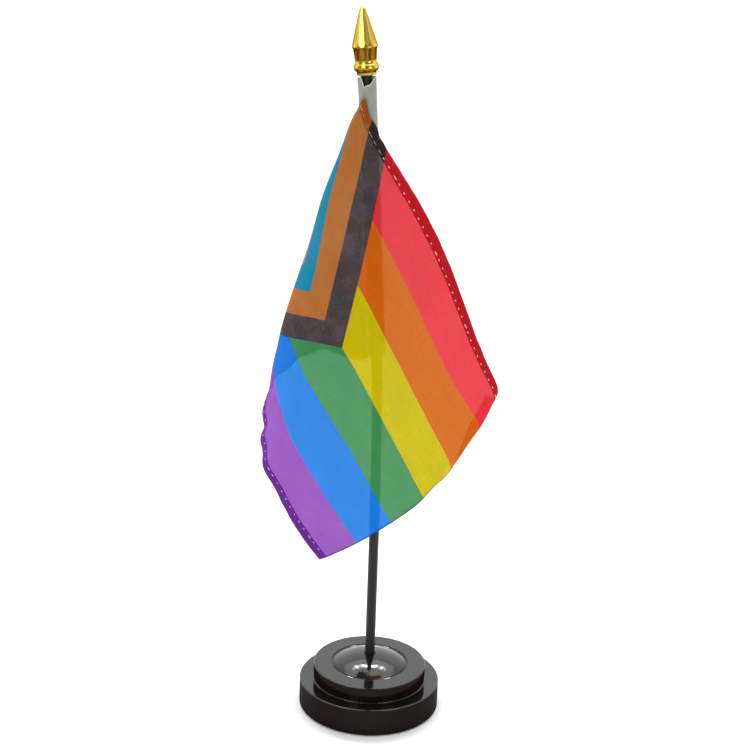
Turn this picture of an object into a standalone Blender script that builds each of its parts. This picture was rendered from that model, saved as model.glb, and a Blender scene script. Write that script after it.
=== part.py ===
"""A small desk flag on a bowed staff, standing in a weighted two-tier round base.

Metres, +Z up. The middle of the underside is the origin and the viewer's side is -Y.
"""
from math import asin, atan2, cos, exp, hypot, pi, radians, sin, sqrt

import bmesh
import bpy
from mathutils import Matrix, Vector

MM = 0.001
ROUND_STEPS = 72

# Base: a moulded shell in two tiers with a low dome in the middle of the top.
BASE_R = 28.575 * MM
LOWER_TIER_TOP = 11.7 * MM
UPPER_TIER_R = 22.9 * MM
UPPER_TIER_TOP = 18.3 * MM
DOME_R = 14.75 * MM
DOME_RISE = 4.3 * MM
DOME_GROOVE = 0.5 * MM
DOME_STEPS = 10
EDGE_ROUND = 0.4 * MM
SHELL_WALL = 2.4 * MM
RIM_Z = 0.5 * MM
BOSS_R = 4.5 * MM
BOSS_FLOOR_Z = 5.3 * MM
RIB_COUNT = 6
RIB_THICK = 1.4 * MM
RIB_BITE = 0.3 * MM
FIT_GAP = 0.3 * MM

PAD_THICK = 1.7 * MM
BALLAST_THICK = 3.0 * MM
BALLAST_BEVEL = 0.5 * MM

# Staff: straight to the bend, then an even bow towards -X.
STAFF_R = 2.0 * MM
STAFF_FOOT_Z = 6.8 * MM
STAFF_TOP_Z = 266.0 * MM
STAFF_BEND_Z = 80.0 * MM
STAFF_BEND_R = 1850.0 * MM
STAFF_POINTS = 16
SOCKET_CLEARANCE = 0.2 * MM
SOCKET_LIP = 0.2 * MM

# Finial: a spear with a rounded collar, pushed on to the staff's top end.
FINIAL_FOOT_Z = 258.2 * MM
FINIAL_LENGTH = 25.0 * MM
COLLAR_R = 4.65 * MM
COLLAR_FOOT_R = 3.65 * MM
COLLAR_ROUND = 1.85 * MM
COLLAR_MID_Z = 2.8 * MM
FOOT_ROUND = 0.25 * MM
NECK_R = 4.0 * MM
NECK_Z = 5.6 * MM
SHOULDER_ROUND = 1.0 * MM
SPEAR_R = 4.8 * MM
SPEAR_WIDEST = 10.4 * MM
TIP_R = 1.2 * MM
FINIAL_SOCKET_DEPTH = 8.2 * MM

# Flag: a 6 x 4 inch sheet. u runs from the staff to the free edge, v from the top down.
FLAG_LENGTH = 152.4 * MM
FLAG_HEIGHT = 101.6 * MM
HOIST_U = 12.0 * MM
CLOTH_THICK = 0.35 * MM
HEM_THICK = 0.6 * MM
HEM_WIDTH = 3.0 * MM
THREAD_R = 0.2 * MM
THREAD_V = 3.5 * MM
CLOTH_START_U = 13.4 * MM
TOP_HEM_START_U = 17.0 * MM

SLEEVE_TOP_Z = 256.0 * MM
SLEEVE_FOOT_Z = 152.0 * MM
SLEEVE_IN_R = 2.75 * MM
SLEEVE_OUT_R = 3.3 * MM
NOTCH_DEPTH = 4.5 * MM
CLOTH_KEEP_OFF = 3.9 * MM

# The cloth sags a little below its straight folds, and its top edge bellies outwards in one long wave.
SAG = 3.8 * MM
SAG_FROM_STAFF = 15.0 * MM
SAG_FROM_HEM = 8.0 * MM
SAG_ENDS_AT = 140.0 * MM
SAG_END_LENGTH = 28.0 * MM
BELLY = 3.2 * MM
BELLY_START = 30.0 * MM
BELLY_LENGTH = 150.0 * MM
BELLY_DEPTH = 15.0 * MM

# The folded side hangs lower and further out round one place on the sheet, and the top corner
# wraps a little way round the front of the sleeve.
DROP = Vector((-1.6, 0.0, -3.0)) * MM
DROP_PLACE = Vector((58.0, 80.0)) * MM
DROP_LENGTH = 38.0 * MM
DROP_HEIGHT = 21.0 * MM
CORNER_WRAP = Vector((2.2, -1.6, 0.0)) * MM
CORNER_REACH = 7.0 * MM

# The flag hangs as a fan of straight folds from its top corner at the staff. Each pair is a
# fold's lean from straight down and its heading round from +X, in degrees, for flat angles
# of 0, 15, ... 90 degrees measured from the top edge to the staff edge.
FLAG_CORNER = Vector((-11.6, -2.5, 251.0)) * MM
FAN_AHEAD = ((28.5, 4.0), (18.0, 333.0), (15.5, 281.0), (16.0, 228.0))
FAN_BEHIND = ((16.0, 174.0), (12.0, 120.0), (3.84, 0.0))
FAN = FAN_AHEAD + FAN_BEHIND
FAN_STEP = radians(15.0)

# The free edge curls back. The curl starts on a line that nears the edge below the top corner.
CURL_START_U = 137.0 * MM
CURL_GROWS_BY = 16.0 * MM
CURL_GROWS_FROM_V = 12.0 * MM
CURL_GROWS_OVER = 39.0 * MM
CURL_GROWTH = 1.4
CURL_R = 8.0 * MM

BLACK_PLASTIC = (0.012, 0.011, 0.012)
BLACK_STAFF = (0.018, 0.017, 0.017)
GOLD = (0.83, 0.55, 0.10)
STEEL = (0.55, 0.55, 0.54)
FOAM = (0.03, 0.03, 0.03)
CLOTH_RED = (0.70, 0.04, 0.05)
SLEEVE_WHITE = (0.72, 0.71, 0.68)
HEM_RED = (0.48, 0.01, 0.015)
HEM_PURPLE = (0.17, 0.04, 0.26)
THREAD_WHITE = (0.85, 0.83, 0.82)


def clear_scene():
    for old in list(bpy.data.objects):
        bpy.data.objects.remove(old, do_unlink=True)


def new_collection(name, hidden=False):
    group = bpy.data.collections.new(name)
    bpy.context.scene.collection.children.link(group)
    group.hide_render = hidden
    return group


def plain_material(name, colour, roughness, metallic=0.0):
    material = bpy.data.materials.new(name)
    material.use_nodes = True
    shader = material.node_tree.nodes["Principled BSDF"]
    shader.inputs["Base Color"].default_value = (*colour, 1.0)
    shader.inputs["Roughness"].default_value = roughness
    shader.inputs["Metallic"].default_value = metallic
    material.diffuse_color = (*colour, 1.0)
    return material


def mesh_object(name, mesh, group, material=None, parent=None):
    thing = bpy.data.objects.new(name, mesh)
    group.objects.link(thing)
    thing.parent = parent
    if material:
        mesh.materials.append(material)
    return thing


def empty(name, group, place, parent=None):
    pivot = bpy.data.objects.new(name, None)
    pivot.empty_display_size = 10 * MM
    pivot.location = place
    pivot.parent = parent
    group.objects.link(pivot)
    return pivot


def turned(name, profile, group, material, parent=None, steps=ROUND_STEPS):
    """A solid of revolution about Z, from a profile of (radius, height) points."""
    mesh = bpy.data.meshes.new(name)
    outline = [(radius, 0.0, height) for radius, height in profile]
    mesh.from_pydata(outline, [(i, i + 1) for i in range(len(outline) - 1)], [])
    thing = mesh_object(name, mesh, group, material, parent)
    screw = thing.modifiers.new("Turn", "SCREW")
    screw.axis = "Z"
    screw.angle = 2 * pi
    screw.steps = steps
    screw.render_steps = steps
    screw.use_merge_vertices = True
    screw.merge_threshold = 0.00001
    screw.use_smooth_shade = True
    return thing


def arc(centre, radius, start, end, steps):
    """Points on a circle in the (radius, height) plane, with angles in degrees from +radius."""
    turns = [radians(start + (end - start) * i / steps) for i in range(steps + 1)]
    return [(centre[0] + radius * cos(t), centre[1] + radius * sin(t)) for t in turns]


def staff_x(height):
    """How far the staff's centre line stands from the base's axis at a height."""
    above = max(0.0, height - STAFF_BEND_Z)
    return sqrt(STAFF_BEND_R**2 - above**2) - STAFF_BEND_R


def staff_centre(height):
    return Vector((staff_x(height), 0.0, height))


def staff_lean(height):
    """The staff's lean towards -X at a height, as a rotation about Y."""
    return -asin((height - STAFF_BEND_Z) / STAFF_BEND_R)


def sleeve_axis():
    """The sleeve's axis as (middle of the foot, direction up), placed midway through the bow."""
    foot = staff_centre(SLEEVE_FOOT_Z)
    top = staff_centre(SLEEVE_TOP_Z)
    middle_z = (SLEEVE_FOOT_Z + SLEEVE_TOP_Z) / 2
    bow = staff_x(middle_z) - (foot.x + top.x) / 2
    foot.x += bow / 2
    top.x += bow / 2
    return foot, (top - foot).normalized()


def base_profile():
    dome_sphere_r = (DOME_R**2 + DOME_RISE**2) / (2 * DOME_RISE)
    dome_top_z = UPPER_TIER_TOP + DOME_RISE
    dome_centre_z = dome_top_z - dome_sphere_r
    bore_r = STAFF_R + SOCKET_CLEARANCE
    bore_lip_r = bore_r + SOCKET_LIP
    lip_z = dome_centre_z + sqrt(dome_sphere_r**2 - bore_lip_r**2)
    dome = []
    for i in range(DOME_STEPS + 1):
        radius = bore_lip_r + (DOME_R - bore_lip_r) * i / DOME_STEPS
        dome.append((radius, dome_centre_z + sqrt(dome_sphere_r**2 - radius**2)))
    groove_centre = (DOME_R + DOME_GROOVE, UPPER_TIER_TOP)
    groove = arc(groove_centre, DOME_GROOVE, 180, 360, 4)[1:]
    upper_edge = arc((UPPER_TIER_R - EDGE_ROUND, UPPER_TIER_TOP - EDGE_ROUND), EDGE_ROUND, 90, 0, 3)
    upper_foot = arc((UPPER_TIER_R + EDGE_ROUND, LOWER_TIER_TOP + EDGE_ROUND), EDGE_ROUND, 180, 270, 3)
    lower_edge = arc((BASE_R - EDGE_ROUND, LOWER_TIER_TOP - EDGE_ROUND), EDGE_ROUND, 90, 0, 3)
    inner_r = BASE_R - SHELL_WALL
    inner_upper_r = UPPER_TIER_R - SHELL_WALL
    underside = [
        (BASE_R, RIM_Z + EDGE_ROUND),
        (BASE_R - EDGE_ROUND, RIM_Z),
        (inner_r, RIM_Z),
        (inner_r, LOWER_TIER_TOP - SHELL_WALL),
        (inner_upper_r, LOWER_TIER_TOP - SHELL_WALL),
        (inner_upper_r, UPPER_TIER_TOP - SHELL_WALL),
        (BOSS_R, UPPER_TIER_TOP - SHELL_WALL),
        (BOSS_R, BOSS_FLOOR_Z),
        (0.0, BOSS_FLOOR_Z),
    ]
    bore = [(0.0, STAFF_FOOT_Z - FIT_GAP), (bore_r, STAFF_FOOT_Z - FIT_GAP), (bore_r, lip_z - SOCKET_LIP)]
    return bore + dome + groove + upper_edge + upper_foot + lower_edge + underside


def rib_former(group):
    """Stepped plates that stiffen the shell from the socket's boss to the walls."""
    long_r = BASE_R - SHELL_WALL + RIB_BITE
    short_r = UPPER_TIER_R - SHELL_WALL + RIB_BITE
    lower_z = LOWER_TIER_TOP - SHELL_WALL + RIB_BITE
    upper_z = UPPER_TIER_TOP - SHELL_WALL + RIB_BITE
    inner = BOSS_R - RIB_BITE
    outline = [(inner, BOSS_FLOOR_Z), (long_r, BOSS_FLOOR_Z), (long_r, lower_z)]
    outline += [(short_r, lower_z), (short_r, upper_z), (inner, upper_z)]
    shape = bmesh.new()
    for i in range(RIB_COUNT):
        corners = [shape.verts.new((radius, -RIB_THICK / 2, height)) for radius, height in outline]
        plate = shape.faces.new(corners)
        pushed = bmesh.ops.extrude_face_region(shape, geom=[plate])
        moved = [item for item in pushed["geom"] if isinstance(item, bmesh.types.BMVert)]
        bmesh.ops.translate(shape, verts=moved, vec=(0.0, RIB_THICK, 0.0))
        turn = Matrix.Rotation(2 * pi * (i + 0.5) / RIB_COUNT, 3, "Z")
        bmesh.ops.rotate(shape, verts=corners + moved, cent=(0.0, 0.0, 0.0), matrix=turn)
    bmesh.ops.recalc_face_normals(shape, faces=shape.faces)
    mesh = bpy.data.meshes.new("rib_former")
    shape.to_mesh(mesh)
    shape.free()
    former = mesh_object("rib_former", mesh, group)
    former.display_type = "WIRE"
    former.hide_render = True
    return former


def make_base(group, formers):
    black = plain_material("black_gloss", BLACK_PLASTIC, 0.12)
    shell = turned("base_shell", base_profile(), group, black)
    ribs = shell.modifiers.new("Ribs", "BOOLEAN")
    ribs.operation = "UNION"
    ribs.solver = "EXACT"
    ribs.object = rib_former(formers)

    inner_r = BASE_R - SHELL_WALL - FIT_GAP
    foam = plain_material("foam_pad", FOAM, 0.95)
    pad_profile = [(0.0, PAD_THICK), (inner_r, PAD_THICK), (inner_r, 0.0), (0.0, 0.0)]
    turned("base_pad", pad_profile, group, foam)

    steel = plain_material("zinc_steel", STEEL, 0.4, 1.0)
    low = PAD_THICK + FIT_GAP
    high = low + BALLAST_THICK
    edge_r = inner_r - BALLAST_BEVEL
    disc = [(0.0, high), (edge_r, high), (inner_r, high - BALLAST_BEVEL)]
    disc += [(inner_r, low + BALLAST_BEVEL), (edge_r, low), (0.0, low)]
    turned("ballast_disc", disc, group, steel)


def round_rod(name, points, radius, group, material, parent=None, sides=2):
    """A round rod along a list of points, with flat ends."""
    curve = bpy.data.curves.new(name, "CURVE")
    curve.dimensions = "3D"
    curve.resolution_u = 1
    curve.bevel_depth = radius
    curve.bevel_resolution = sides
    curve.use_fill_caps = True
    line = curve.splines.new("POLY")
    line.points.add(len(points) - 1)
    for spot, point in zip(line.points, points):
        spot.co = (*point, 1.0)
    line.use_smooth = True
    curve.materials.append(material)
    rod = bpy.data.objects.new(name, curve)
    group.objects.link(rod)
    rod.parent = parent
    return rod


def make_staff(group):
    black = plain_material("black_staff", BLACK_STAFF, 0.38)
    pivot = empty("staff_lift", group, (0.0, 0.0, STAFF_FOOT_Z))
    step = (STAFF_TOP_Z - STAFF_FOOT_Z) / STAFF_POINTS
    points = [staff_centre(STAFF_FOOT_Z + step * i) - pivot.location for i in range(STAFF_POINTS + 1)]
    round_rod("staff", points, STAFF_R, group, black, pivot, sides=6)
    return pivot


def finial_profile():
    shoulder = arc((SPEAR_R - SHOULDER_ROUND, SPEAR_WIDEST), SHOULDER_ROUND, 20, -55, 4)
    tip = arc((0.0, FINIAL_LENGTH - TIP_R), TIP_R, 90, 15, 4)
    tip[0] = (0.0, FINIAL_LENGTH)
    collar = arc((COLLAR_R - COLLAR_ROUND, COLLAR_MID_Z), COLLAR_ROUND, 50, -60, 6)
    bore_r = STAFF_R + SOCKET_CLEARANCE
    neck = [(NECK_R, NECK_Z), (NECK_R - FOOT_ROUND, NECK_Z - 2 * FOOT_ROUND)]
    foot = [(COLLAR_FOOT_R, FOOT_ROUND), (COLLAR_FOOT_R - FOOT_ROUND, 0.0), (bore_r, 0.0)]
    socket = [(bore_r, FINIAL_SOCKET_DEPTH), (0.0, FINIAL_SOCKET_DEPTH)]
    return tip + shoulder + neck + collar + foot + socket


def make_finial(group, staff_pivot):
    gold = plain_material("gold_plating", GOLD, 0.2, 1.0)
    place = staff_centre(FINIAL_FOOT_Z)
    pivot = empty("finial_pull", group, place - staff_pivot.location, staff_pivot)
    pivot.rotation_euler = (0.0, staff_lean(FINIAL_FOOT_Z), 0.0)
    turned("finial", finial_profile(), group, gold, pivot, steps=48)
    return pivot


def fan_direction(angle):
    """Unit direction of the fold at a flat angle: a smooth curve through the FAN directions."""
    spots = []
    for lean, turn in FAN:
        spots.append(sin(radians(lean)) * Vector((cos(radians(turn)), sin(radians(turn)))))
    spots = [2 * spots[0] - spots[1]] + spots + [2 * spots[-1] - spots[-2]]
    place = min(max(angle / FAN_STEP, 0.0), len(FAN) - 1.00001)
    k = int(place)
    t = place - k
    a, b, c, d = spots[k:k + 4]
    out = 0.5 * (2 * b + (c - a) * t + (2 * a - 5 * b + 4 * c - d) * t**2 + (3 * b - a - 3 * c + d) * t**3)
    return Vector((out.x, out.y, -sqrt(1.0 - out.length_squared)))


def hanging_point(u, v):
    """Where a point of the flat flag hangs, before the free corner curls."""
    along = max(u - HOIST_U, 0.0)
    reach = hypot(along, v)
    point = FLAG_CORNER + reach * fan_direction(atan2(v, along))
    past = max(reach - SAG_ENDS_AT, 0.0) / SAG_END_LENGTH
    point.z -= SAG * (1.0 - exp(-along / SAG_FROM_STAFF)) * (1.0 - exp(-v / SAG_FROM_HEM)) * (1.0 - past**2)
    wave = max(u - BELLY_START, 0.0) / BELLY_LENGTH
    point.x += BELLY * sin(2 * pi * wave) * exp(-v / BELLY_DEPTH)
    aside = ((u - DROP_PLACE.x) / DROP_LENGTH) ** 2 + ((v - DROP_PLACE.y) / DROP_HEIGHT) ** 2
    point += DROP * exp(-aside) * (1.0 - exp(-along / SAG_FROM_STAFF))
    point += CORNER_WRAP * exp(-(reach / CORNER_REACH) ** 2)
    foot, up = sleeve_axis()
    beside = point - foot
    beside -= up * beside.dot(up)
    if beside.length < CLOTH_KEEP_OFF:
        point += beside.normalized() * (CLOTH_KEEP_OFF - beside.length)
    return point


def curl_start(v):
    """The u at which the cloth starts to curl back, at a given v."""
    return CURL_START_U + CURL_GROWS_BY * (max(v - CURL_GROWS_FROM_V, 0.0) / CURL_GROWS_OVER) ** CURL_GROWTH


def flag_point(u, v):
    """Where a point of the flat flag ends up, with the free edge curled back near its top corner."""
    root = curl_start(v)
    if u <= root:
        return hanging_point(u, v)
    start = hanging_point(root, v)
    onward = (start - hanging_point(root - MM, v)).normalized()
    back = (hanging_point(root, v + MM) - start).cross(onward).normalized()
    if back.y < 0.0:
        back.negate()
    bend = (u - root) / CURL_R
    return start + onward * CURL_R * sin(bend) + back * CURL_R * (1.0 - cos(bend))


def cloth_sheet(name, span_u, span_v, cells, thickness, group, material, parent):
    """A thin closed sheet over part of the flat flag, hung in place."""
    shape = bmesh.new()
    bmesh.ops.create_grid(shape, x_segments=cells[0], y_segments=cells[1], size=0.5)
    for vert in shape.verts:
        u = span_u[0] + (vert.co.x + 0.5) * (span_u[1] - span_u[0])
        v = span_v[0] + (vert.co.y + 0.5) * (span_v[1] - span_v[0])
        vert.co = flag_point(u, v) - parent.matrix_world.translation
    mesh = bpy.data.meshes.new(name)
    for face in shape.faces:
        face.smooth = True
    shape.to_mesh(mesh)
    shape.free()
    sheet = mesh_object(name, mesh, group, material, parent)
    thick = sheet.modifiers.new("Thickness", "SOLIDIFY")
    thick.thickness = thickness
    thick.offset = 0.0
    return sheet


def make_sleeve(group, formers, parent):
    """The cloth tube round the staff, with a notch at the front of its top."""
    white = plain_material("sleeve_cloth", SLEEVE_WHITE, 0.85)
    foot, up = sleeve_axis()
    length = (SLEEVE_TOP_Z - SLEEVE_FOOT_Z) / up.z
    profile = [(SLEEVE_IN_R, length), (SLEEVE_OUT_R, length), (SLEEVE_OUT_R, 0.0), (SLEEVE_IN_R, 0.0)]
    profile.append(profile[0])
    sleeve = turned("hoist_sleeve", profile, group, white, parent, steps=32)
    sleeve.rotation_euler = up.to_track_quat("Z", "Y").to_euler()

    shape = bmesh.new()
    size = {"radius1": NOTCH_DEPTH, "radius2": NOTCH_DEPTH, "depth": SLEEVE_OUT_R * 2}
    bmesh.ops.create_cone(shape, cap_ends=True, segments=3, **size)
    bmesh.ops.rotate(shape, verts=shape.verts, cent=(0, 0, 0), matrix=Matrix.Rotation(pi / 2, 3, "X"))
    lowest = min(vert.co.z for vert in shape.verts)
    mesh = bpy.data.meshes.new("notch_former")
    shape.to_mesh(mesh)
    shape.free()
    former = mesh_object("notch_former", mesh, formers)
    former.display_type = "WIRE"
    former.hide_render = True
    former.location = foot + up * (length - NOTCH_DEPTH - lowest) + Vector((0.0, -SLEEVE_OUT_R, 0.0))
    notch = sleeve.modifiers.new("Notch", "BOOLEAN")
    notch.operation = "DIFFERENCE"
    notch.solver = "EXACT"
    notch.object = former


def flag_line(u_from, u_to, v_from, v_to, count, parent):
    places = [i / count for i in range(count + 1)]
    spots = [(u_from + (u_to - u_from) * t, v_from + (v_to - v_from) * t) for t in places]
    return [flag_point(u, v) - parent.matrix_world.translation for u, v in spots]


def make_flag(group, formers, staff_pivot):
    foot, up = sleeve_axis()
    pivot = empty("flag_swing", group, foot - staff_pivot.location, staff_pivot)
    bpy.context.view_layer.update()
    make_sleeve(group, formers, pivot)

    cloth = plain_material("flag_cloth", CLOTH_RED, 0.8)
    red = plain_material("top_hem_cloth", HEM_RED, 0.85)
    purple = plain_material("bottom_hem_cloth", HEM_PURPLE, 0.85)
    thread = plain_material("white_thread", THREAD_WHITE, 0.6)
    middle_top = 2 * THREAD_V - HEM_WIDTH
    middle_foot = FLAG_HEIGHT - middle_top
    whole_u = (CLOTH_START_U, FLAG_LENGTH)
    hem_u = (TOP_HEM_START_U, FLAG_LENGTH)
    cloth_sheet("flag_cloth", whole_u, (middle_top, middle_foot), (44, 26), CLOTH_THICK, group, cloth, pivot)
    cloth_sheet("top_hem", hem_u, (0.0, HEM_WIDTH), (40, 1), HEM_THICK, group, red, pivot)
    foot_v = (FLAG_HEIGHT - HEM_WIDTH, FLAG_HEIGHT)
    cloth_sheet("bottom_hem", whole_u, foot_v, (44, 1), HEM_THICK, group, purple, pivot)

    top = flag_line(*hem_u, THREAD_V, THREAD_V, 40, pivot)
    round_rod("top_hem_thread", top, THREAD_R, group, thread, pivot)
    low_v = FLAG_HEIGHT - THREAD_V
    low = flag_line(*whole_u, low_v, low_v, 40, pivot)
    round_rod("bottom_hem_thread", low, THREAD_R, group, thread, pivot)
    seam_u = HOIST_U + THREAD_R
    seam = flag_line(seam_u, seam_u, middle_top, middle_foot, 8, pivot)
    round_rod("sleeve_thread", seam, THREAD_R, group, thread, pivot)


def main():
    clear_scene()
    group = new_collection("desk_flag_stand")
    formers = new_collection("formers", hidden=True)
    make_base(group, formers)
    staff_pivot = make_staff(group)
    bpy.context.view_layer.update()
    make_finial(group, staff_pivot)
    make_flag(group, formers, staff_pivot)


main()
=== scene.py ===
"""Looks for the desk flag stand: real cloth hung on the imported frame, and a material for every surface."""

from math import asin, atan2, cos, exp, hypot, pi, radians, sin, sqrt

import bmesh
import bpy
import numpy as np
from mathutils import Matrix, Vector, noise


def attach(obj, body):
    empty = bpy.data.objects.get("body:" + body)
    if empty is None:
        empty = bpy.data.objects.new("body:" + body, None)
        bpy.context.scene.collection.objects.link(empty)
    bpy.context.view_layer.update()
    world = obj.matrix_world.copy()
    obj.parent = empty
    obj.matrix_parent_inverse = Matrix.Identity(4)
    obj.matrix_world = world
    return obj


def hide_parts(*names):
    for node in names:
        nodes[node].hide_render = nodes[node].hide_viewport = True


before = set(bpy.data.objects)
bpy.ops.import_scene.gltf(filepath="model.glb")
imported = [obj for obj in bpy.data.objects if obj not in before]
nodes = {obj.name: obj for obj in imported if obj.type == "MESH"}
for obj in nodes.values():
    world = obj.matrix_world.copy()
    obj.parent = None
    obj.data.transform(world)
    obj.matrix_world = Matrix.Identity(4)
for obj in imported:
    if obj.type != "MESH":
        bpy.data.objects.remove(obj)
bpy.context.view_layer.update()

MM = 0.001

# The camera: where it stands, its lens and sensor in millimetres, and how it is turned, in degrees.
CAMERA_PLACE = (0.0, -607.8 * MM, 343.9 * MM)
CAMERA_LENS = 79.2
CAMERA_SENSOR = 36.0
CAMERA_PITCH = 18.33
CAMERA_TURN = 0.17
CAMERA_ROLL = 1.98

# The flat flag. u runs from the staff to the free edge and v from the top edge down.
FLAG_LENGTH = 152.4 * MM
FLAG_HEIGHT = 101.6 * MM
HOIST_U = 12.0 * MM
HEM_WIDTH = 3.1 * MM
CLOTH_CELL = 1.75 * MM
FINE_CELL = 0.8 * MM
CLOTH_THICK = 0.12 * MM

# Creases in the settled cloth: how high, and how long and tall the broad and the fine ones are.
CREASE = 0.26 * MM
CREASE_STARTS = 12.0 * MM
BROAD_CREASE = (35.0 * MM, 12.0 * MM)
FINE_CREASE = (11.0 * MM, 20.0 * MM)
FINE_CREASE_SHARE = 0.5

# The simulation: how firmly the cloth keeps to its folds, more so near the free edge, and how long
# it settles for.
GUIDE = 0.06
FLY_GUIDE = 0.14
FLY_REACH = 40.0 * MM
CLOTH_FRAMES = 40

# The bottom edge's ruffles, which wander along the edge and vary in height.
RUFFLE = 0.75 * MM
RUFFLE_LENGTH = 15.0 * MM
RUFFLE_DEPTH = 9.0 * MM
RUFFLE_STARTS = 30.0 * MM
RUFFLE_ENDS = 125.0 * MM
RUFFLE_WANDER = 3.0
RUFFLE_WANDERS_OVER = 30.0 * MM
RUFFLE_VARIES_BY = 1.2
RUFFLE_VARIES_OVER = 20.0 * MM

# Small corrections to the hanging shape, in millimetres: a place (u, v) on the sheet, how far the
# cloth moves there, and how far round it that reaches along u and v. They fade out at the seam.
NUDGES = (
    ((152.4, 44.5), (-1.2, 0.0, 1.0), (10.0, 7.0)),
    ((152.4, 27.0), (0.7, 0.0, -0.6), (10.0, 7.0)),
    ((142.0, 15.0), (2.8, 0.0, 0.0), (16.0, 10.0)),
    ((34.0, 34.0), (-1.9, 0.0, 0.0), (16.0, 20.0)),
    ((54.0, 60.0), (-1.9, 0.0, 0.0), (16.0, 20.0)),
    ((46.0, 101.6), (0.0, 0.0, 3.5), (14.0, 24.0)),
    ((77.0, 101.6), (1.3, 0.0, 0.0), (9.0, 12.0)),
    ((105.0, 101.6), (-2.3, 0.0, 0.0), (9.0, 14.0)),
)
NUDGE_FADE = 12.0 * MM

# Sewing. A stitch shows as a short dot on the outer side and a longer dash on the inner side.
# Every ninth dot is a long one, and near the sleeve the top line is a finer unbroken thread.
STITCH_PITCH = 3.6 * MM
STITCH_DOT = 0.95 * MM
STITCH_DASH = 2.5 * MM
DASH_STARTS = 0.3 * MM
STITCH_LONG = 2.4 * MM
STITCH_LINE = 3.2 * MM
LONG_EVERY = 9
STITCH_IN = 2.45 * MM
STITCH_SWAY = 0.12 * MM
STITCH_SWAYS_OVER = 6.0 * MM
TOP_LINE_ENDS = 35.0 * MM
LINE_MARGIN = 2.0 * MM
THREAD_R = 0.15 * MM
FINE_THREAD_R = 0.06 * MM
THREAD_SIDES = 6

# A stitch is an arch: its pieces, how high it rises and how deep its ends sink, in thread radii.
ARCH_PIECES = 6
ARCH_RISE = 1.7
ARCH_SINK = 1.4
SEAM_ARCH_PIECES = 4
SEAM_ARCH_RISE = 0.9
SEAM_ARCH_SINK = 0.5

# The hems: folded bands, and a fine hard bead along the free edge.
HEM_LIFT = 0.16 * MM
HEM_BACK = 0.34 * MM
HEM_EDGE_LIFT = 0.06 * MM
HEM_NOSE = 0.15 * MM
HEM_PUFF = 0.14 * MM
HEM_SWAY = 0.12 * MM
HEM_SWAYS_OVER = 4.0 * MM
HEM_STARTS = 1.0 * MM
HEM_ENDS = 0.1 * MM
HEM_STEP = 0.6 * MM
HEM_THICK = 0.08 * MM
HEM_PLACES = (0.12, 0.5, 0.86)
EDGE_BEAD_R = 0.2 * MM
EDGE_SWAY = 0.08 * MM
EDGE_SWAYS_OVER = 3.0 * MM

# How the flag hangs: the fan of folds, the staff's bow and the turned corner, as in the CAD model.
FLAG_CORNER = Vector((-11.6, -2.5, 251.0)) * MM
FAN_AHEAD = ((28.5, 4.0), (18.0, 333.0), (15.5, 281.0), (16.0, 228.0))
FAN_BEHIND = ((16.0, 174.0), (12.0, 120.0), (3.84, 0.0))
FAN = FAN_AHEAD + FAN_BEHIND
FAN_STEP = radians(15.0)
CURL_START_U = 137.0 * MM
CURL_GROWS_BY = 16.0 * MM
CURL_GROWS_FROM_V = 12.0 * MM
CURL_GROWS_OVER = 39.0 * MM
CURL_GROWTH = 1.4
CURL_R = 8.0 * MM
CLOTH_KEEP_OFF = 3.9 * MM

# The cloth sags a little below its straight folds, and its top edge bellies outwards in one long wave.
SAG = 3.8 * MM
SAG_FROM_STAFF = 15.0 * MM
SAG_FROM_HEM = 8.0 * MM
SAG_ENDS_AT = 140.0 * MM
SAG_END_LENGTH = 28.0 * MM
BELLY = 3.2 * MM
BELLY_START = 30.0 * MM
BELLY_LENGTH = 150.0 * MM
BELLY_DEPTH = 15.0 * MM

# The folded side hangs lower and further out round one place on the sheet, and the top corner
# wraps a little way round the front of the sleeve.
DROP = Vector((-1.6, 0.0, -3.0)) * MM
DROP_PLACE = Vector((58.0, 80.0)) * MM
DROP_LENGTH = 38.0 * MM
DROP_HEIGHT = 21.0 * MM
CORNER_WRAP = Vector((2.2, -1.6, 0.0)) * MM
CORNER_REACH = 7.0 * MM

STAFF_BEND_Z = 80.0 * MM
STAFF_BEND_R = 1850.0 * MM

# The sleeve: a loose tube drawn out to the seam where the flag starts, with a notch at its top.
# Its rows are shares of its height, and finer near the top.
SLEEVE_TOP_Z = 256.0 * MM
SLEEVE_FOOT_Z = 152.0 * MM
SLEEVE_EXTRA = 1.3 * MM
SLEEVE_R = 2.85 * MM
SLEEVE_SIDES = 72
SLEEVE_STEP = 0.012
FINE_STEP = 0.006
FINE_FROM = 0.86
SLEEVE_SEAM_R = 4.05 * MM
SLEEVE_SEAM_TURN = 217.0
SEAM_SHARPNESS = 8
SEAM_HALF_TURN = 17.0
SEAM_FOOT = 2.0 * MM
SEAM_HIDDEN_ABOVE = 9.0 * MM
SLEEVE_ROUND = 19.2 * MM
SLEEVE_WRINKLE = 0.12 * MM
WRINKLE_HEIGHT = 9.0 * MM
WRINKLES_ROUND = 2.2
SMALL_WRINKLE_SHARE = 0.6
SMALL_WRINKLE_SCALE = 2.3
SLEEVE_RAGGED = 0.25 * MM
SLEEVE_FLARE = 0.35 * MM
FLARE_HEIGHT = 9.0 * MM
FLARE_PLACE = 20.0
FLARE_WIDE = 35.0
SLEEVE_THICK = 0.16 * MM
SLEEVE_EDGE_R = 0.2 * MM
NOTCH_DEPTH = 4.2 * MM
NOTCH_TURN = 243.0
NOTCH_STEEP = 12.0
NOTCH_WIDE = 95.0
FLAP_RISE = 0.6 * MM
FLAP_WIDE = 20.0

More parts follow.
